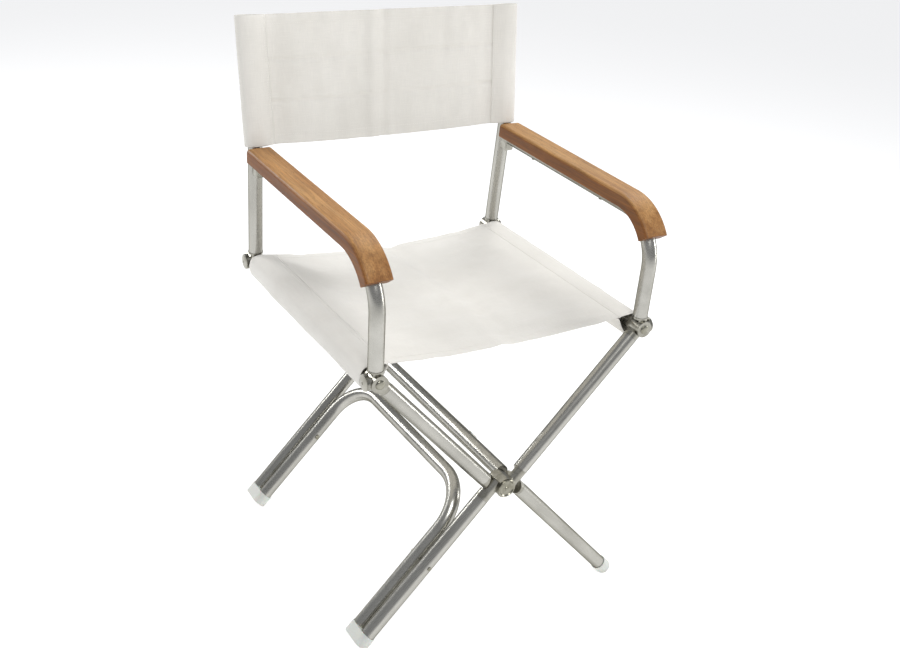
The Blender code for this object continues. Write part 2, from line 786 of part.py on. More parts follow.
def back_cloth():
    up = Vector((0, RAKE, 1)).normalized()
    low = post_point(1, BACK_BEND_Z) + (BACK_CLOTH_BOTTOM - BACK_BEND_Z) * Vector((0, RAKE, 1))
    high = post_point(1, BACK_BEND_Z) + (BACK_CLOTH_TOP - BACK_BEND_Z) * Vector((0, RAKE, 1))
    holes = [ring(side * RAIL_X, 0, TUBE_R + 3 * GAP) for side in (1, -1)]
    cloth = outline_solid("back_cloth", [back_outline(), *holes], (high - low).length / 2)
    middle = (low + high) / 2
    for vertex in cloth.data.vertices:
        height = middle.z + vertex.co.z * up.z
        vertex.co.x += math.copysign(height * math.tan(SPLAY), vertex.co.x)
    cloth.location = middle + Vector((0, MIDDLE_Y, RAIL_Z))
    cloth.rotation_euler.x = -math.atan(RAKE)
    return finish(cloth, CANVAS, None)


# ---- the chair -------------------------------------------------------------------------------
FRAMES = {"A": 1, "B": -1}
lower_legs = {}
for frame, side in FRAMES.items():
    for end in END_NAMES:
        lower_legs[frame, end] = leg_tubes(frame, side, end)
        leg_eye(frame, side, end)
        hub(frame, side, end)
        foot_cap(frame, side, end, (LEG_Y, BRACE_Y) if frame == "A" else (LEG_Y,))

u_brace = brace()
for end in END_NAMES:
    hub_pin(end)
    brace_bolt(end, lower_legs["A", end], u_brace)
stretcher()

for side in SIDE_NAMES:
    rail(side)
    arm = arm_tube(side)
    wood = armrest(side)
    for number, y in enumerate(SCREW_PLACES, start=1):
        armrest_screw(side, number, y, arm, wood)
    back_post(side)
    post_plug(side)
    arm_bracket(side)
    for end in END_NAMES:
        post_fork(side, end)
        hinge_pin(side, end)
        boss_cap(side, end)

seat_cloth()
back_cloth()
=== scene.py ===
"""Looks of the folding director chair: tube, castings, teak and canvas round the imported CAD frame."""

import math

import bmesh
import bpy
from mathutils import Matrix, Vector, noise


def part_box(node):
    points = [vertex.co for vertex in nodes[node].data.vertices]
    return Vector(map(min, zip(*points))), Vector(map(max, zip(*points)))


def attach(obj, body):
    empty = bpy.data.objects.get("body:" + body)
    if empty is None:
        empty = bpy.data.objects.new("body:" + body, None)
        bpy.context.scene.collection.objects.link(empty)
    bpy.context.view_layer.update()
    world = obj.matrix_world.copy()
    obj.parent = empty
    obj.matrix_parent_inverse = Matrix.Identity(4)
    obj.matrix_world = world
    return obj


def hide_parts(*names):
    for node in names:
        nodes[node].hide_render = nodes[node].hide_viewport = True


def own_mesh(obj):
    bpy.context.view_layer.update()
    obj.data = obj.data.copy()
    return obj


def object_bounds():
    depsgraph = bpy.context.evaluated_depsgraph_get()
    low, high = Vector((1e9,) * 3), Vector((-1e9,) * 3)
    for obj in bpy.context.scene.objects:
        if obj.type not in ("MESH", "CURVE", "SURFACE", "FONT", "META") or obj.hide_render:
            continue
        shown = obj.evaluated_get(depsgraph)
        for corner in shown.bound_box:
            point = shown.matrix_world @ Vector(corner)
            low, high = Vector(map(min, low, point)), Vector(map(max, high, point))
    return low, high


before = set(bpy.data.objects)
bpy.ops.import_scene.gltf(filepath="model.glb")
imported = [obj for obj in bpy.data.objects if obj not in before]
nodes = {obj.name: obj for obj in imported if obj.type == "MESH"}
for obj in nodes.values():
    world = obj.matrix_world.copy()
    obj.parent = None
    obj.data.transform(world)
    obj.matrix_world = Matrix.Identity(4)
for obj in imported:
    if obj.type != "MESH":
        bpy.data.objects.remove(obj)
cad_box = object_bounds()
scene = bpy.context.scene

MM = 0.001
FLOOR_R = 16.0
WORLD_STRENGTH = 0.36
FLOOR_GLOW = 0.64  # keeps the far floor as pale as the near one

# name, place, aim height, side length and height, power in watts
SOFTBOXES = (
    ("key", (-0.5, -1.7, 2.6), 0.4, (0.9, 0.9), 36),
    ("top", (1.2, 0.9, 2.3), 0.4, (0.9, 0.9), 24),
    ("side", (2.3, -0.9, 0.9), 0.5, (0.4, 1.4), 16),
    ("rim", (-1.3, 2.1, 1.6), 0.3, (0.8, 0.8), 30),
)

# ---- where things are, from the CAD ------------------------------------------------------------
rail_low, rail_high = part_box("seat_rail_right")
RAIL = (rail_low + rail_high) / 2  # middle of the right seat rail
MIDDLE_Y = RAIL.y
SEAT_FRONT, SEAT_REAR = (corner.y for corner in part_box("seat_cloth"))
BACK_LOW_Z, BACK_HIGH_Z = (corner.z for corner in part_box("back_cloth"))
SPLAY = math.radians(1.3)  # the side frames lean out by this much
BEND_Y, BEND_Z = 0.20135, 0.190  # the back posts' bend, from the rail's axis
RAKE = math.atan(0.1606)  # the back posts' slope above the bend


# ---- camera, light and floor ---------------------------------------------------------------------
def look_from(place, azimuth, elevation, roll):
    """A camera's matrix; azimuth 0 looks along +Y, elevation is above the horizon."""
    a, e, r = (math.radians(t) for t in (azimuth, elevation, roll))
    back = Vector((math.sin(a) * math.cos(e), -math.cos(a) * math.cos(e), math.sin(e)))
    right = Vector((0, 0, 1)).cross(back).normalized()
    up = back.cross(right)
    tilted = right * math.cos(r) + up * math.sin(r)
    turned = up * math.cos(r) - right * math.sin(r)
    matrix = Matrix((tilted, turned, back)).transposed().to_4x4()
    matrix.translation = place
    return matrix


def camera():
    data = bpy.data.cameras.new("camera")
    data.sensor_width = 36
    data.lens = 47.76
    made = bpy.data.objects.new("camera", data)
    scene.collection.objects.link(made)
    made.matrix_world = look_from((-0.8637, MIDDLE_Y - 1.4232, 1.2067), -31.873, 26.004, 4.591)
    scene.camera = made


def softbox(name, place, aim_height, size, power):
    data = bpy.data.lights.new(name, "AREA")
    data.shape = "RECTANGLE"
    data.size, data.size_y = size
    data.energy = power
    made = bpy.data.objects.new(name, data)
    scene.collection.objects.link(made)
    made.location = place
    aim = Vector((0, 0, aim_height)) - Vector(place)
    made.rotation_euler = aim.to_track_quat("-Z", "Y").to_euler()


def studio():
    world = bpy.data.worlds.new("studio")
    scene.world = world
    world.use_nodes = True
    sky = world.node_tree.nodes["Background"]
    sky.inputs["Color"].default_value = (0.93, 0.95, 1.0, 1)
    sky.inputs["Strength"].default_value = WORLD_STRENGTH
    for box in SOFTBOXES:
        softbox(*box)
    mesh = bpy.data.meshes.new("floor")
    bm = bmesh.new()
    bmesh.ops.create_circle(bm, cap_ends=True, segments=64, radius=FLOOR_R)
    bm.to_mesh(mesh)
    bm.free()
    floor = bpy.data.objects.new("floor", mesh)
    scene.collection.objects.link(floor)
    floor.location.z = cad_box[0][2]
    paint = bpy.data.materials.new("floor")
    paint.use_nodes = True
    shader = paint.node_tree.nodes["Principled BSDF"]
    shader.inputs["Base Color"].default_value = (0.62, 0.62, 0.62, 1)
    shader.inputs["Roughness"].default_value = 0.8
    shader.inputs["Specular IOR Level"].default_value = 0.2
    shader.inputs["Emission Color"].default_value = (1, 1, 1, 1)
    shader.inputs["Emission Strength"].default_value = FLOOR_GLOW
    floor.data.materials.append(paint)


# ---- materials -----------------------------------------------------------------------------------
class Paint:
    """A material's node tree, with short ways to add what these materials share."""

    def __init__(self, name, **sockets):
        self.material = bpy.data.materials.new(name)
        self.material.use_nodes = True
        self.tree = self.material.node_tree
        self.shader = self.tree.nodes["Principled BSDF"]
        self.set(**sockets)

    def set(self, **sockets):
        for name, value in sockets.items():
            self.shader.inputs[name.replace("_", " ")].default_value = value

    def node(self, kind, *links, **values):
        made = self.tree.nodes.new(kind)
        for key, value in values.items():
            if key in made.inputs:
                made.inputs[key].default_value = value
            else:
                setattr(made, key, value)
        for socket, source in links:
            self.tree.links.new(source, made.inputs[socket])
        return made

    def place(self, stretch, turn=(0, 0, 0), source="Object"):
        where = self.node("ShaderNodeTexCoord").outputs[source]
        turned = self.node("ShaderNodeMapping", ("Vector", where), vector_type="POINT")
        turned.inputs["Rotation"].default_value = turn
        scaled = self.node("ShaderNodeVectorMath", (0, turned.outputs[0]), operation="MULTIPLY")
        scaled.inputs[1].default_value = stretch
        return scaled.outputs[0]

    def noise(self, where, scale, detail=3.0, roughness=0.5):
        made = self.node("ShaderNodeTexNoise", ("Vector", where))
        made.inputs["Scale"].default_value = scale
        made.inputs["Detail"].default_value = detail
        made.inputs["Roughness"].default_value = roughness
        return made.outputs["Fac"]

    def span(self, source, low, high, out_low, out_high):
        made = self.node("ShaderNodeMapRange", ("Value", source))
        for socket, value in zip((1, 2, 3, 4), (low, high, out_low, out_high)):
            made.inputs[socket].default_value = value
        return made.outputs[0]

    def maths(self, operation, first, second):
        made = self.node("ShaderNodeMath", operation=operation)
        for socket, value in enumerate((first, second)):
            if isinstance(value, (int, float)):
                made.inputs[socket].default_value = value
            else:
                self.tree.links.new(value, made.inputs[socket])
        return made.outputs[0]

    def ramp(self, source, *stops):
        made = self.node("ShaderNodeValToRGB", ("Fac", source))
        elements = made.color_ramp.elements
        while len(elements) < len(stops):
            elements.new(0.5)
        for element, (place, colour) in zip(elements, stops):
            element.position = place
            element.color = (*colour, 1)
        return made.outputs["Color"]

    def mix(self, factor, first, second, blend="MIX"):
        made = self.node("ShaderNodeMix", data_type="RGBA", blend_type=blend)
        for socket, value in ((0, factor), (6, first), (7, second)):
            if isinstance(value, (int, float)):
                made.inputs[socket].default_value = value
            elif isinstance(value, tuple):
                made.inputs[socket].default_value = (*value, 1)
            else:
                self.tree.links.new(value, made.inputs[socket])
        return made.outputs[2]

    def link(self, socket, source):
        self.tree.links.new(source, self.shader.inputs[socket])

    def bump(self, height, depth, strength=1.0):
        made = self.node("ShaderNodeBump", ("Height", height))
        made.inputs["Distance"].default_value = depth
        made.inputs["Strength"].default_value = strength
        self.link("Normal", made.outputs[0])


def along_z(direction):
    """The turn that brings a direction onto +Z, for grain that runs along it."""
    return Vector(direction).rotation_difference(Vector((0, 0, 1))).to_euler()


def aluminium(name, direction):
    """Satin anodised drawn tube: fine lines along it, faint cloudiness, small handling marks."""
    paint = Paint(name, Metallic=1.0, Specular_Tint=(0.25, 0.245, 0.21, 1))
    turn = along_z(direction)
    lines = paint.noise(paint.place((1400, 1400, 9), turn), 1.0, 4.0, 0.6)
    clouds = paint.noise(paint.place((26, 26, 9), turn), 1.0, 3.0)
    marks = paint.noise(paint.place((420, 420, 60), turn), 1.0, 2.0, 0.7)
    tone = paint.ramp(clouds, (0.30, (0.38, 0.372, 0.338)), (0.70, (0.50, 0.490, 0.452)))
    worn = paint.span(marks, 0.66, 0.74, 0.0, 0.25)
    paint.link("Base Color", paint.mix(worn, tone, (0.30, 0.29, 0.25)))
    rough = paint.maths("ADD", paint.span(lines, 0.3, 0.7, 0.22, 0.33), paint.maths("MULTIPLY", worn, 0.3))
    paint.link("Roughness", rough)
    paint.bump(paint.maths("SUBTRACT", lines, worn), 0.02 * MM, 0.25)
    return paint.material


def casting():
    """Cast and tumbled fittings: darker, slightly olive, with a fine pebbled skin."""
    paint = Paint("cast_fitting", Metallic=1.0)
    where = paint.place((1, 1, 1))
    pebble = paint.noise(where, 1500, 3.0)
    clouds = paint.noise(where, 90, 4.0)
    tone = paint.ramp(clouds, (0.3, (0.27, 0.26, 0.220)), (0.7, (0.40, 0.39, 0.345)))
    paint.link("Base Color", tone)
    paint.link("Roughness", paint.span(pebble, 0.3, 0.7, 0.22, 0.36))
    paint.bump(pebble, 0.03 * MM, 0.5)
    return paint.material


def steel():
    paint = Paint("stainless", Metallic=1.0)
    where = paint.place((1, 1, 1))
    grit = paint.noise(where, 2200, 2.0)
    tone = paint.ramp(paint.noise(where, 120, 2.0), (0.3, (0.22, 0.21, 0.165)), (0.7, (0.34, 0.33, 0.275)))
    paint.link("Base Color", tone)
    paint.link("Roughness", paint.span(grit, 0.3, 0.7, 0.16, 0.32))
    paint.bump(grit, 0.02 * MM, 0.2)
    return paint.material


def teak(name, shift):
    """Oiled teak, its grain along the arm: broad figure, fine streaks and short dark pores; painted shade
    darkens the arm's sides.
    """
    paint = Paint(name, Specular_IOR_Level=0.28, Coat_Weight=0.04, Coat_Roughness=0.35)
    where = paint.node("ShaderNodeTexCoord").outputs["Object"]
    moved = paint.node("ShaderNodeVectorMath", (0, where), operation="ADD")
    moved.inputs[1].default_value = shift

    def grain(x, y, z, detail=4.0, roughness=0.55):
        scaled = paint.node("ShaderNodeVectorMath", (0, moved.outputs[0]), operation="MULTIPLY")
        scaled.inputs[1].default_value = (x, y, z)
        return paint.noise(scaled.outputs[0], 1.0, detail, roughness)

    figure = grain(85, 5, 60, 3.0)
    streaks = grain(520, 14, 420, 5.0, 0.65)
    pores = grain(1500, 70, 1300, 2.0, 0.6)
    broad = paint.ramp(
        figure,
        (0.28, (0.300, 0.138, 0.042)),
        (0.48, (0.440, 0.222, 0.074)),
        (0.72, (0.555, 0.312, 0.118)),
    )
    fine = paint.span(streaks, 0.30, 0.70, 0.62, 1.20)
    tinted = paint.node("ShaderNodeVectorMath", (0, broad), (1, fine), operation="MULTIPLY")
    pore = paint.span(pores, 0.58, 0.68, 0.0, 0.65)
    # painted shade: where the true normal turns away from straight up, the arm's sides are multiplied by a
    # fixed dark red-brown
    facing = paint.node("ShaderNodeNewGeometry").outputs["True Normal"]
    upright = paint.node("ShaderNodeSeparateXYZ", ("Vector", facing)).outputs[2]
    edge = paint.span(upright, 0.35, 0.90, 1.0, 0.0)
    shaded_sides = paint.mix(edge, tinted.outputs[0], (0.50, 0.36, 0.24), blend="MULTIPLY")
    paint.link("Base Color", paint.mix(pore, shaded_sides, (0.130, 0.060, 0.020)))
    paint.link("Roughness", paint.span(streaks, 0.3, 0.7, 0.42, 0.60))
    paint.bump(paint.maths("SUBTRACT", paint.maths("MULTIPLY", streaks, 0.5), pore), 0.12 * MM, 0.6)
    return paint.material


def canvas(name, thread=0.95 * MM):
    """Off-white woven canvas. The mesh's UVs are in metres, warp along v and weft along u."""
    paint = Paint(name, Sheen_Weight=0.25, Sheen_Roughness=0.45, Specular_IOR_Level=0.25)
    flat = paint.place((1, 1, 1), source="UV")
    apart = paint.node("ShaderNodeSeparateXYZ", ("Vector", flat))
    turns = 2 * math.pi / thread
    weft = paint.maths("SINE", paint.maths("MULTIPLY", apart.outputs[0], turns), 0.0)
    warp = paint.maths("SINE", paint.maths("MULTIPLY", apart.outputs[1], turns), 0.0)
    weave = paint.maths("ADD", paint.maths("MULTIPLY", weft, warp), paint.maths("ADD", weft, warp))
    slub_u = paint.noise(paint.place((45, 1100, 1), source="UV"), 1.0, 2.0)
    slub_v = paint.noise(paint.place((1100, 45, 1), source="UV"), 1.0, 2.0)
    slubs = paint.maths("ADD", slub_u, slub_v)
    clouds = paint.noise(paint.place((9, 9, 9)), 1.0, 4.0)
    tone = paint.ramp(clouds, (0.3, (0.750, 0.727, 0.672)), (0.7, (0.820, 0.798, 0.745)))
    shade = paint.span(weave, -1.4, 2.0, 0.90, 1.0)
    threads = paint.maths("MULTIPLY", shade, paint.span(slubs, 0.7, 1.3, 0.96, 1.03))
    shaded = paint.node("ShaderNodeVectorMath", (0, tone), (1, threads), operation="MULTIPLY")
    paint.link("Base Color", shaded.outputs[0])
    paint.link("Roughness", paint.span(slubs, 0.7, 1.3, 0.80, 0.95))
    height = paint.maths("ADD", paint.maths("MULTIPLY", weave, 0.25), paint.maths("MULTIPLY", slubs, 0.9))
    paint.bump(height, 0.10 * MM, 0.8)
    return paint.material


def thread():
    paint = Paint("stitching_thread", Sheen_Weight=0.2)
    twist = paint.noise(paint.place((1, 1, 1)), 2500, 2.0)
    tone = paint.ramp(twist, (0.3, (0.70, 0.68, 0.63)), (0.7, (0.86, 0.84, 0.80)))
    paint.link("Base Color", tone)
    paint.link("Roughness", paint.span(twist, 0.3, 0.7, 0.6, 0.8))
    paint.bump(twist, 0.05 * MM)
    return paint.material


def plastic(name, dirt):
    """Pale moulded plastic, a little translucent, scuffed where it meets the floor."""
    paint = Paint(name, Subsurface_Weight=0.12, Subsurface_Scale=0.004, Coat_Weight=0.05)
    where = paint.node("ShaderNodeTexCoord").outputs["Object"]
    fine = paint.noise(where, 900, 3.0)
    clouds = paint.noise(where, 120, 4.0)
    height = paint.node("ShaderNodeSeparateXYZ", ("Vector", where)).outputs[2]
    low = paint.span(height, 0.0, 0.014, dirt, 0.0)
    scuff = paint.maths("MULTIPLY", low, paint.span(clouds, 0.42, 0.62, 0.0, 1.0))
    tone = paint.ramp(fine, (0.3, (0.60, 0.61, 0.565)), (0.7, (0.70, 0.71, 0.665)))
    paint.link("Base Color", paint.mix(scuff, tone, (0.34, 0.32, 0.28)))
    paint.link("Roughness", paint.span(fine, 0.3, 0.7, 0.34, 0.52))
    paint.bump(fine, 0.04 * MM, 0.5)
    return paint.material


def longest_direction(obj):
    """The direction in which a straight tube's two ends lie."""
    points = [v.co for v in obj.data.vertices]
    centre = sum(points, Vector()) / len(points)
    far = max(points, key=lambda p: (p - centre).length)
    other = max(points, key=lambda p: (p - far).length)
    return (far - other).normalized()


def round_shading(mesh, limit=math.radians(38)):
    """Normals that run smoothly over a facetted mesh and break at its edges; no point moves."""
    meeting = {}
    for face in mesh.polygons:
        points = [mesh.vertices[v].co for v in face.vertices]
        for i, point in enumerate(points):
            ahead = points[(i + 1) % len(points)] - point
            behind = points[i - 1] - point
            weight = face.area * ahead.angle(behind, 0.0)
            meeting.setdefault(point.to_tuple(5), []).append((face.normal.copy(), weight))
    normals = []
    for face in mesh.polygons:
        for v in face.vertices:
            total = face.normal * 1e-9
            for normal, weight in meeting[mesh.vertices[v].co.to_tuple(5)]:
                if normal.dot(face.normal) > math.cos(limit):
                    total = total + normal * weight
            normals.append(total.normalized())
    mesh.shade_smooth()
    mesh.normals_split_custom_set(normals)


def dress_frame():
    cast, bolt = casting(), steel()
    cap, plug = plastic("foot_plastic", 0.5), plastic("plug_plastic", 0.0)
    for name, obj in nodes.items():
        if name.startswith(("leg_A", "leg_B", "stretcher", "seat_rail", "back_post")):
            look = aluminium(f"tube_{name}", longest_direction(obj))
        elif name.startswith("arm_tube"):
            look = aluminium(f"tube_{name}", (0, 1, 0.35))
        elif name == "u_brace":
            look = aluminium("tube_u_brace", (0.6, 0.5, 0.6))
        elif name.startswith("armrest_screw") or name.startswith(("hub_pin", "hinge_pin", "brace_bolt")):
            look = bolt
        elif name.startswith("armrest"):
            look = teak(f"teak_{name}", (0.31, 0.17, 0.05) if "left" in name else (0.07, 0.43, 0.29))
        elif name.startswith("foot_cap"):
            look = cap
        elif name.startswith("post_plug"):
            look = plug
        else:
            look = cast
        obj.data.materials.clear()
        obj.data.materials.append(look)
        round_shading(obj.data)


# ---- cloth ---------------------------------------------------------------------------------------
CLOTH_T = 1.1 * MM
HEM = 16 * MM  # width of a turned hem
STITCH = 2.7 * MM
STITCH_GAP = 0.9 * MM
SEAT_SEAM = 27 * MM  # the sleeves' seams, inward from the rails' axes
BACK_SEAM = 30 * MM
LAP = 4 * MM  # a panel goes on this far under a sleeve's seam


def smooth(x):
    x = min(max(x, 0.0), 1.0)
    return x * x * (3 - 2 * x)


def hill(x, centre, width):
    return math.exp(-(((x - centre) / width) ** 2))


def ripple(x, y, size, seed):
    return noise.noise(Vector((x / size, y / size, seed)))


def spline(points, count):
    """Points on a smooth line through the given ones (Catmull-Rom), evenly shared per stretch."""
    points = [Vector(p) for p in points]
    ends = [2 * points[0] - points[1], *points, 2 * points[-1] - points[-2]]
    line = []
    for i in range(1, len(ends) - 2):
        a, b, c, d = ends[i - 1 : i + 3]
        for k in range(count):
            t = k / count
            slope = (c - a) * t
            bend = (2 * a - 5 * b + 4 * c - d) * t**2
            twist = (3 * b - a - 3 * c + d) * t**3
            line.append(0.5 * (2 * b + slope + bend + twist))
    line.append(points[-1])
    return line


def hem_rows(length, rows):
    """(place along the cloth, depth under its face) from one turned-under edge to the other."""
    turn = CLOTH_T * 0.62
    edge = [(HEM, 2.1 * turn), (HEM * 0.5, 2.0 * turn), (0.9 * MM, 2.0 * turn), (0.15 * MM, 1.5 * turn)]
    edge += [(-0.1 * MM, 1.0 * turn), (0.15 * MM, 0.35 * turn), (0.9 * MM, 0.0)]
    face = [(length * i / rows, 0.0) for i in range(1, rows)]
    return edge + face + [(length - place, depth) for place, depth in reversed(edge)]


def cloth(name, surface, across, length, rows, look, flip=False):
    """A sheet with turned hems. surface(i, v) is the point at across' i-th place, v along it."""
    table = hem_rows(length, rows)
    mesh = bpy.data.meshes.new(name)
    bm = bmesh.new()
    uv = bm.loops.layers.uv.new("flat")
    last = len(across) - 1
    small = 0.5 * MM
    grid = []
    for i in range(last + 1):
        line = []
        for v, depth in table:
            here = surface(i, v)
            side = surface(min(i + 1, last), v) - surface(max(i - 1, 0), v)
            ahead = surface(i, v + small) - surface(i, v - small)
            normal = side.cross(ahead).normalized()
            if flip:
                normal = -normal
            line.append(bm.verts.new(here - depth * normal))
        grid.append(line)
    for i in range(last):
        for j in range(len(table) - 1):
            corners = [(i, j), (i + 1, j), (i + 1, j + 1), (i, j + 1)]
            if flip:
                corners.reverse()
            face = bm.faces.new([grid[a][b] for a, b in corners])
            face.smooth = True
            for loop, (a, b) in zip(face.loops, corners):
                loop[uv].uv = (across[a], table[b][0])
    bm.to_mesh(mesh)
    bm.free()
    obj = bpy.data.objects.new(name, mesh)
    scene.collection.objects.link(obj)
    thick = obj.modifiers.new("thickness", "SOLIDIFY")
    thick.thickness = CLOTH_T
    thick.offset = -1.0
    obj.data.materials.append(look)
    return obj


def lengths(points):
    """How far along a line each of its points is."""
    total, found = 0.0, [0.0]
    for a, b in zip(points, points[1:]):
        total += (b - a).length
        found.append(total)
    return found


def stitches(name, rows, look):
    """Rows of sewn stitches. Each row is a list of (point, outward normal)."""
    mesh = bpy.data.meshes.new(name)
    bm = bmesh.new()
    for row in rows:
        gone = 0.0
        for (a, normal), (b, _) in zip(row, row[1:]):
            step = (b - a).length
            while gone < step:
                middle = a.lerp(b, gone / step) + 0.15 * MM * normal
                ahead = (b - a).normalized()
                side = normal.cross(ahead).normalized()
                turn = Matrix((ahead, side, normal)).transposed().to_4x4()
                turn.translation = middle
                size = Matrix.Diagonal((STITCH / 2, 0.42 * MM, 0.30 * MM, 1))
                bmesh.ops.create_uvsphere(
                    bm, u_segments=6, v_segments=5, radius=1, matrix=turn @ size
                )
                gone += STITCH + STITCH_GAP
            gone -= step
    for face in bm.faces:
        face.smooth = True
    bm.to_mesh(mesh)
    bm.free()
    obj = bpy.data.objects.new(name, mesh)
    scene.collection.objects.link(obj)
    obj.data.materials.append(look)
    return obj


def row_on(surface, places, outward):
    """A stitch row on a surface: places are its (i, v) pairs, outward says which way is up."""
    points = [surface(i, v) for i, v in places]
    return [(p + 0.05 * MM * outward, outward) for p in points]


# ---- the seat ------------------------------------------------------------------------------------
SEAT_LENGTH = SEAT_REAR - SEAT_FRONT
SEAT_HALF = RAIL.x - SEAT_SEAM
SEAT_TOP = RAIL.z + 12.2 * MM
SEAT_SAG_FRONT, SEAT_SAG_REAR = 8 * MM, 14 * MM
CALM_EDGE = 45 * MM  # the hems pull the cloth straight this far in
# cross folds: share of the seat's depth, slope, width in mm
SEAT_FOLDS = ((0.24, 0.02, 4.0), (0.42, -0.03, 3.0), (0.63, 0.015, 3.5), (0.81, -0.01, 3.0))


def pucker(v, seed):
    """The little waves that a row of stitches draws up."""
    return 0.35 * MM * ripple(v, 0.0, 9 * MM, seed) + 0.25 * MM * ripple(v, 0.0, 26 * MM, seed + 3)


def seat_height(x, v):
    """Height of the seat's face at x, v behind its front edge."""
    share = v / SEAT_LENGTH
    across = x / SEAT_HALF
    inner = smooth((1 - abs(across)) / 0.22)
    sag = SEAT_SAG_FRONT + (SEAT_SAG_REAR - SEAT_SAG_FRONT) * smooth(share)
    z = SEAT_TOP - sag * (1 - across**2)
    calm = 0.25 + 0.75 * smooth(v / CALM_EDGE) * smooth((SEAT_LENGTH - v) / CALM_EDGE)
    # slack in the cloth, from broad waves to fine wrinkles across it
    z += 2.4 * MM * ripple(x, v, 0.085, 1.7) * inner * calm
    z += 2.6 * MM * ripple(x * 0.35, v, 0.024, 5.1) * inner * calm
    z += 0.5 * MM * ripple(x * 0.5, v, 0.009, 9.4) * inner
    # the valley that folding leaves along the middle, and the ridge beside it
    middle = 14 * MM + 12 * MM * math.sin(3.2 * share)
    z -= 4.2 * MM * hill(x, middle, 15 * MM) * smooth(share / 0.2)
    z += 2.4 * MM * hill(x, middle - 26 * MM, 12 * MM)
    # the tension fold behind the front hem
    fold_v = 26 * MM + 0.05 * (SEAT_HALF - x)
    z -= 2.8 * MM * hill(v, fold_v, 8 * MM) * smooth((across + 0.35) / 0.6) * inner
    z += 2.2 * MM * hill(v, fold_v + 16 * MM, 8 * MM) * smooth((across + 0.2) / 0.6) * inner
    for place, tilt, width in SEAT_FOLDS:
        line = place * SEAT_LENGTH + tilt * x
        z += 1.6 * MM * hill(v, line, width * MM) * (0.4 + 0.8 * ripple(x, place, 0.06, 8.2)) * inner
    # the corners, drawn towards the knuckles
    pull = hill(v, 0.0, 45 * MM) + hill(v, SEAT_LENGTH, 40 * MM)
    pull *= smooth((abs(across) - 0.45) / 0.4)
    z += 0.7 * MM * math.sin(abs(x) * 120 + v * 95) * pull * inner
    return z + pucker(v, 2.0 + (x > 0)) * (1 - inner)


def seat_panel(look):
    count = 96
    half = SEAT_HALF + LAP
    xs = [-half + 2 * half * i / count for i in range(count + 1)]

    def surface(i, v):
        x = xs[i]
        z = seat_height(max(-SEAT_HALF, min(SEAT_HALF, x)), v)
        z -= 1.3 * MM * smooth((abs(x) - SEAT_HALF) / (1.5 * MM))
        return Vector((x, SEAT_FRONT + v, z))

    panel = cloth("seat_panel", surface, [x + half for x in xs], SEAT_LENGTH, 84, look)
    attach(panel, "side_right")
    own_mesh(panel)
    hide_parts("seat_cloth")
    up = Vector((0, 0, 1))
    inside = range(3, count - 2)
    hems = [row_on(surface, [(i, v) for i in inside], up) for v in (HEM - 2 * MM, SEAT_LENGTH - HEM + 2 * MM)]
    sewn = stitches("seat_hem_stitches", hems, bpy.data.materials["stitching_thread"])
    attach(sewn, "side_right")
    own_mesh(sewn)


def seat_sleeve(side, look):
    """The loose pocket round a rail, sewn shut at the seam on its inner side."""
    name = "right" if side > 0 else "left"
    line = spline(
        [
            (-SEAT_SEAM, 12.2 * MM, 0),
            (-13 * MM, 13.9 * MM, 0),
            (1 * MM, 14.6 * MM, 0),
            (12 * MM, 9.5 * MM, 0),
            (16 * MM, -3 * MM, 0),
            (13 * MM, -16 * MM, 0),
            (4 * MM, -24.5 * MM, 0),
            (-7 * MM, -22 * MM, 0),
            (-17 * MM, -10 * MM, 0),
            (-24 * MM, 3.4 * MM, 0),
            (-SEAT_SEAM, 8.4 * MM, 0),
        ],
        6,
    )
    around = lengths(line)

    def surface(i, v):
        point = line[i]
        free = smooth(around[i] / 0.02) * smooth((around[-1] - around[i]) / 0.02)
        low = smooth(-point.y / (12 * MM))
        wave = 1.3 * MM * ripple(around[i], v, 0.055, 11.0 + side)
        wave += 0.5 * MM * ripple(around[i], v, 0.018, 4.0 + side)
        wave += 1.6 * MM * low * ripple(v, around[i] * 0.3, 0.075, 21.0 + side)
        out = Vector((point.x, point.y, 0)).normalized() * wave * free
        if out.dot(point) < 0:
            out *= 0.35
        z = RAIL.z + point.y + out.y + pucker(v, 2.0 + (side > 0)) * (1 - free)
        return Vector((side * (RAIL.x + point.x + out.x), SEAT_FRONT + v, z))

    sleeve = cloth(f"seat_sleeve_{name}", surface, around, SEAT_LENGTH, 84, look, flip=side < 0)
    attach(sleeve, f"side_{name}")
    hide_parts("seat_cloth")
    up = Vector((0, 0, 1))
    steps = [SEAT_LENGTH * k / 120 for k in range(1, 120)]
    rows = [row_on(surface, [(i, v) for v in steps], up) for i in (1, 3)]
    sewn = stitches(f"seat_sleeve_stitches_{name}", rows, bpy.data.materials["stitching_thread"])
    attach(sewn, f"side_{name}")


# ---- the back ------------------------------------------------------------------------------------
BACK_UP = Vector((0, math.sin(RAKE), math.cos(RAKE)))
BACK_REAR = Vector((0, math.cos(RAKE), -math.sin(RAKE)))
BACK_LENGTH = (BACK_HIGH_Z - BACK_LOW_Z) / math.cos(RAKE) - 4 * MM
BACK_CURVE = 6 * MM
BACK_DROP = 4 * MM


def post_axis(v):
    """(distance from the middle, y, z) of a back post's axis, v up the back cloth."""
    z = BACK_LOW_Z + 2 * MM + v * math.cos(RAKE)
    rise = z - RAIL.z
    y = MIDDLE_Y + BEND_Y + (rise - BEND_Z) * math.tan(RAKE)
    return RAIL.x + rise * math.tan(SPLAY), y, z


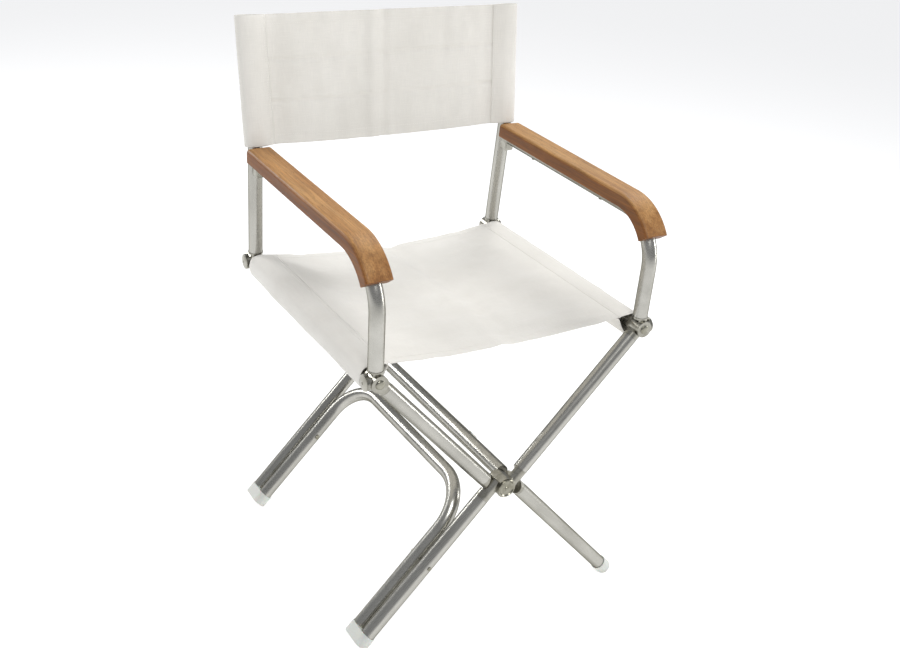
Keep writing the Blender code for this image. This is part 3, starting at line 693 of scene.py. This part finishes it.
def back_depth(across, v):
    """How far behind its edges the back's face lies; across is -1 at the left seam, 1 at the right."""
    share = v / BACK_LENGTH
    inner = smooth((1 - abs(across)) / 0.2)
    n = BACK_CURVE * (1 - across**2)
    n += 2.4 * MM * ripple(across * 0.2, v, 0.07, 31.0) * inner
    n += 1.9 * MM * ripple(across * 0.2, v * 0.4, 0.02, 33.0) * inner
    n += 0.5 * MM * ripple(across * 0.2, v, 0.009, 35.0) * inner
    # the crease that folding leaves down the middle, with a ridge on each side
    n += 4.2 * MM * hill(across, -0.02 + 0.03 * share, 0.035) * inner
    n -= 3.8 * MM * hill(across, -0.12 + 0.02 * share, 0.045) * inner
    n += 1.4 * MM * hill(across, 0.09, 0.03) * smooth((0.55 - share) / 0.2) * inner
    n += 1.6 * MM * hill(across, 0.55, 0.05) * smooth((share - 0.3) / 0.4) * inner
    for place, deep in ((0.34, 2.9), (0.66, 2.5)):
        broken = 0.6 + 0.6 * ripple(across, place, 0.3, 7.0)
        n += deep * MM * hill(share, place + 0.01 * across, 0.013) * broken
    n += 2.8 * MM * hill(across, -0.93, 0.06) + 1.8 * MM * hill(across, 0.94, 0.05)
    return n + pucker(v, 41.0 + (across > 0)) * (1 - inner)


def back_panel(look):
    count = 96

    def place(across, v):
        half, y, z = post_axis(v)
        half -= BACK_SEAM
        hang = BACK_DROP * (1 - across**2) * smooth(1 - v / BACK_LENGTH)
        base = Vector((across * half, y, z))
        return base + BACK_REAR * (back_depth(across, v) - 3.0 * MM) - BACK_UP * hang

    reach = 1 + LAP / (RAIL.x - BACK_SEAM)
    shares = [-reach + 2 * reach * i / count for i in range(count + 1)]

    def surface(i, v):
        across = shares[i]
        held = max(-1.0, min(1.0, across))
        point = place(held, v)
        beyond = (across - held) * (RAIL.x - BACK_SEAM)
        point.x += beyond
        return point + BACK_REAR * 1.3 * MM * smooth(abs(beyond) / (1.5 * MM))

    width = 2 * (post_axis(BACK_LENGTH / 2)[0] - BACK_SEAM + LAP)
    across = [width * (s / reach + 1) / 2 for s in shares]
    panel = cloth("back_panel", surface, across, BACK_LENGTH, 60, look)
    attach(panel, "side_right")
    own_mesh(panel)
    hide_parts("back_cloth")
    inside = range(3, count - 2)
    hems = [
        row_on(surface, [(i, v) for i in inside], -BACK_REAR)
        for v in (HEM - 2 * MM, BACK_LENGTH - HEM + 2 * MM)
    ]
    sewn = stitches("back_hem_stitches", hems, bpy.data.materials["stitching_thread"])
    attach(sewn, "side_right")
    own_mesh(sewn)


def back_sleeve(side, look):
    """The pocket over a back post: flat in front, sewn to the panel on its inner side."""
    name = "right" if side > 0 else "left"
    line = spline(
        [
            (-BACK_SEAM, -3.0 * MM, 0),
            (-20 * MM, -8.5 * MM, 0),
            (-8 * MM, -13.2 * MM, 0),
            (4 * MM, -13.4 * MM, 0),
            (13 * MM, -8.5 * MM, 0),
            (16 * MM, 0.5 * MM, 0),
            (11 * MM, 10.5 * MM, 0),
            (0, 13.8 * MM, 0),
            (-11 * MM, 10 * MM, 0),
            (-22 * MM, 4.2 * MM, 0),
            (-BACK_SEAM, 0.8 * MM, 0),
        ],
        6,
    )
    around = lengths(line)

    def surface(i, v):
        point = line[i]
        half, y, z = post_axis(v)
        free = smooth(around[i] / 0.02) * smooth((around[-1] - around[i]) / 0.02)
        wave = 1.2 * MM * abs(ripple(around[i], v * 0.5, 0.045, 51.0 + side)) * free
        out = Vector((point.x, point.y, 0)).normalized() * wave
        rear = point.y + out.y + pucker(v, 41.0 + (side > 0)) * (1 - free)
        return Vector((side * (half + point.x + out.x), y, z)) + BACK_REAR * rear

    sleeve = cloth(f"back_sleeve_{name}", surface, around, BACK_LENGTH, 60, look, flip=side < 0)
    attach(sleeve, f"side_{name}")
    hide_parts("back_cloth")
    steps = [BACK_LENGTH * k / 70 for k in range(1, 70)]
    rows = [row_on(surface, [(i, v) for v in steps], -BACK_REAR) for i in (1, 3)]
    sewn = stitches(f"back_sleeve_stitches_{name}", rows, bpy.data.materials["stitching_thread"])
    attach(sewn, f"side_{name}")


# ---- the scene -----------------------------------------------------------------------------------
scene.view_settings.view_transform = "Standard"
camera()
studio()
dress_frame()
thread()
seat_cloth_look, back_cloth_look = canvas("seat_canvas"), canvas("back_canvas")
seat_panel(seat_cloth_look)
back_panel(back_cloth_look)
for side in (-1, 1):
    seat_sleeve(side, seat_cloth_look)
    back_sleeve(side, back_cloth_look)

bpy.context.view_layer.update()
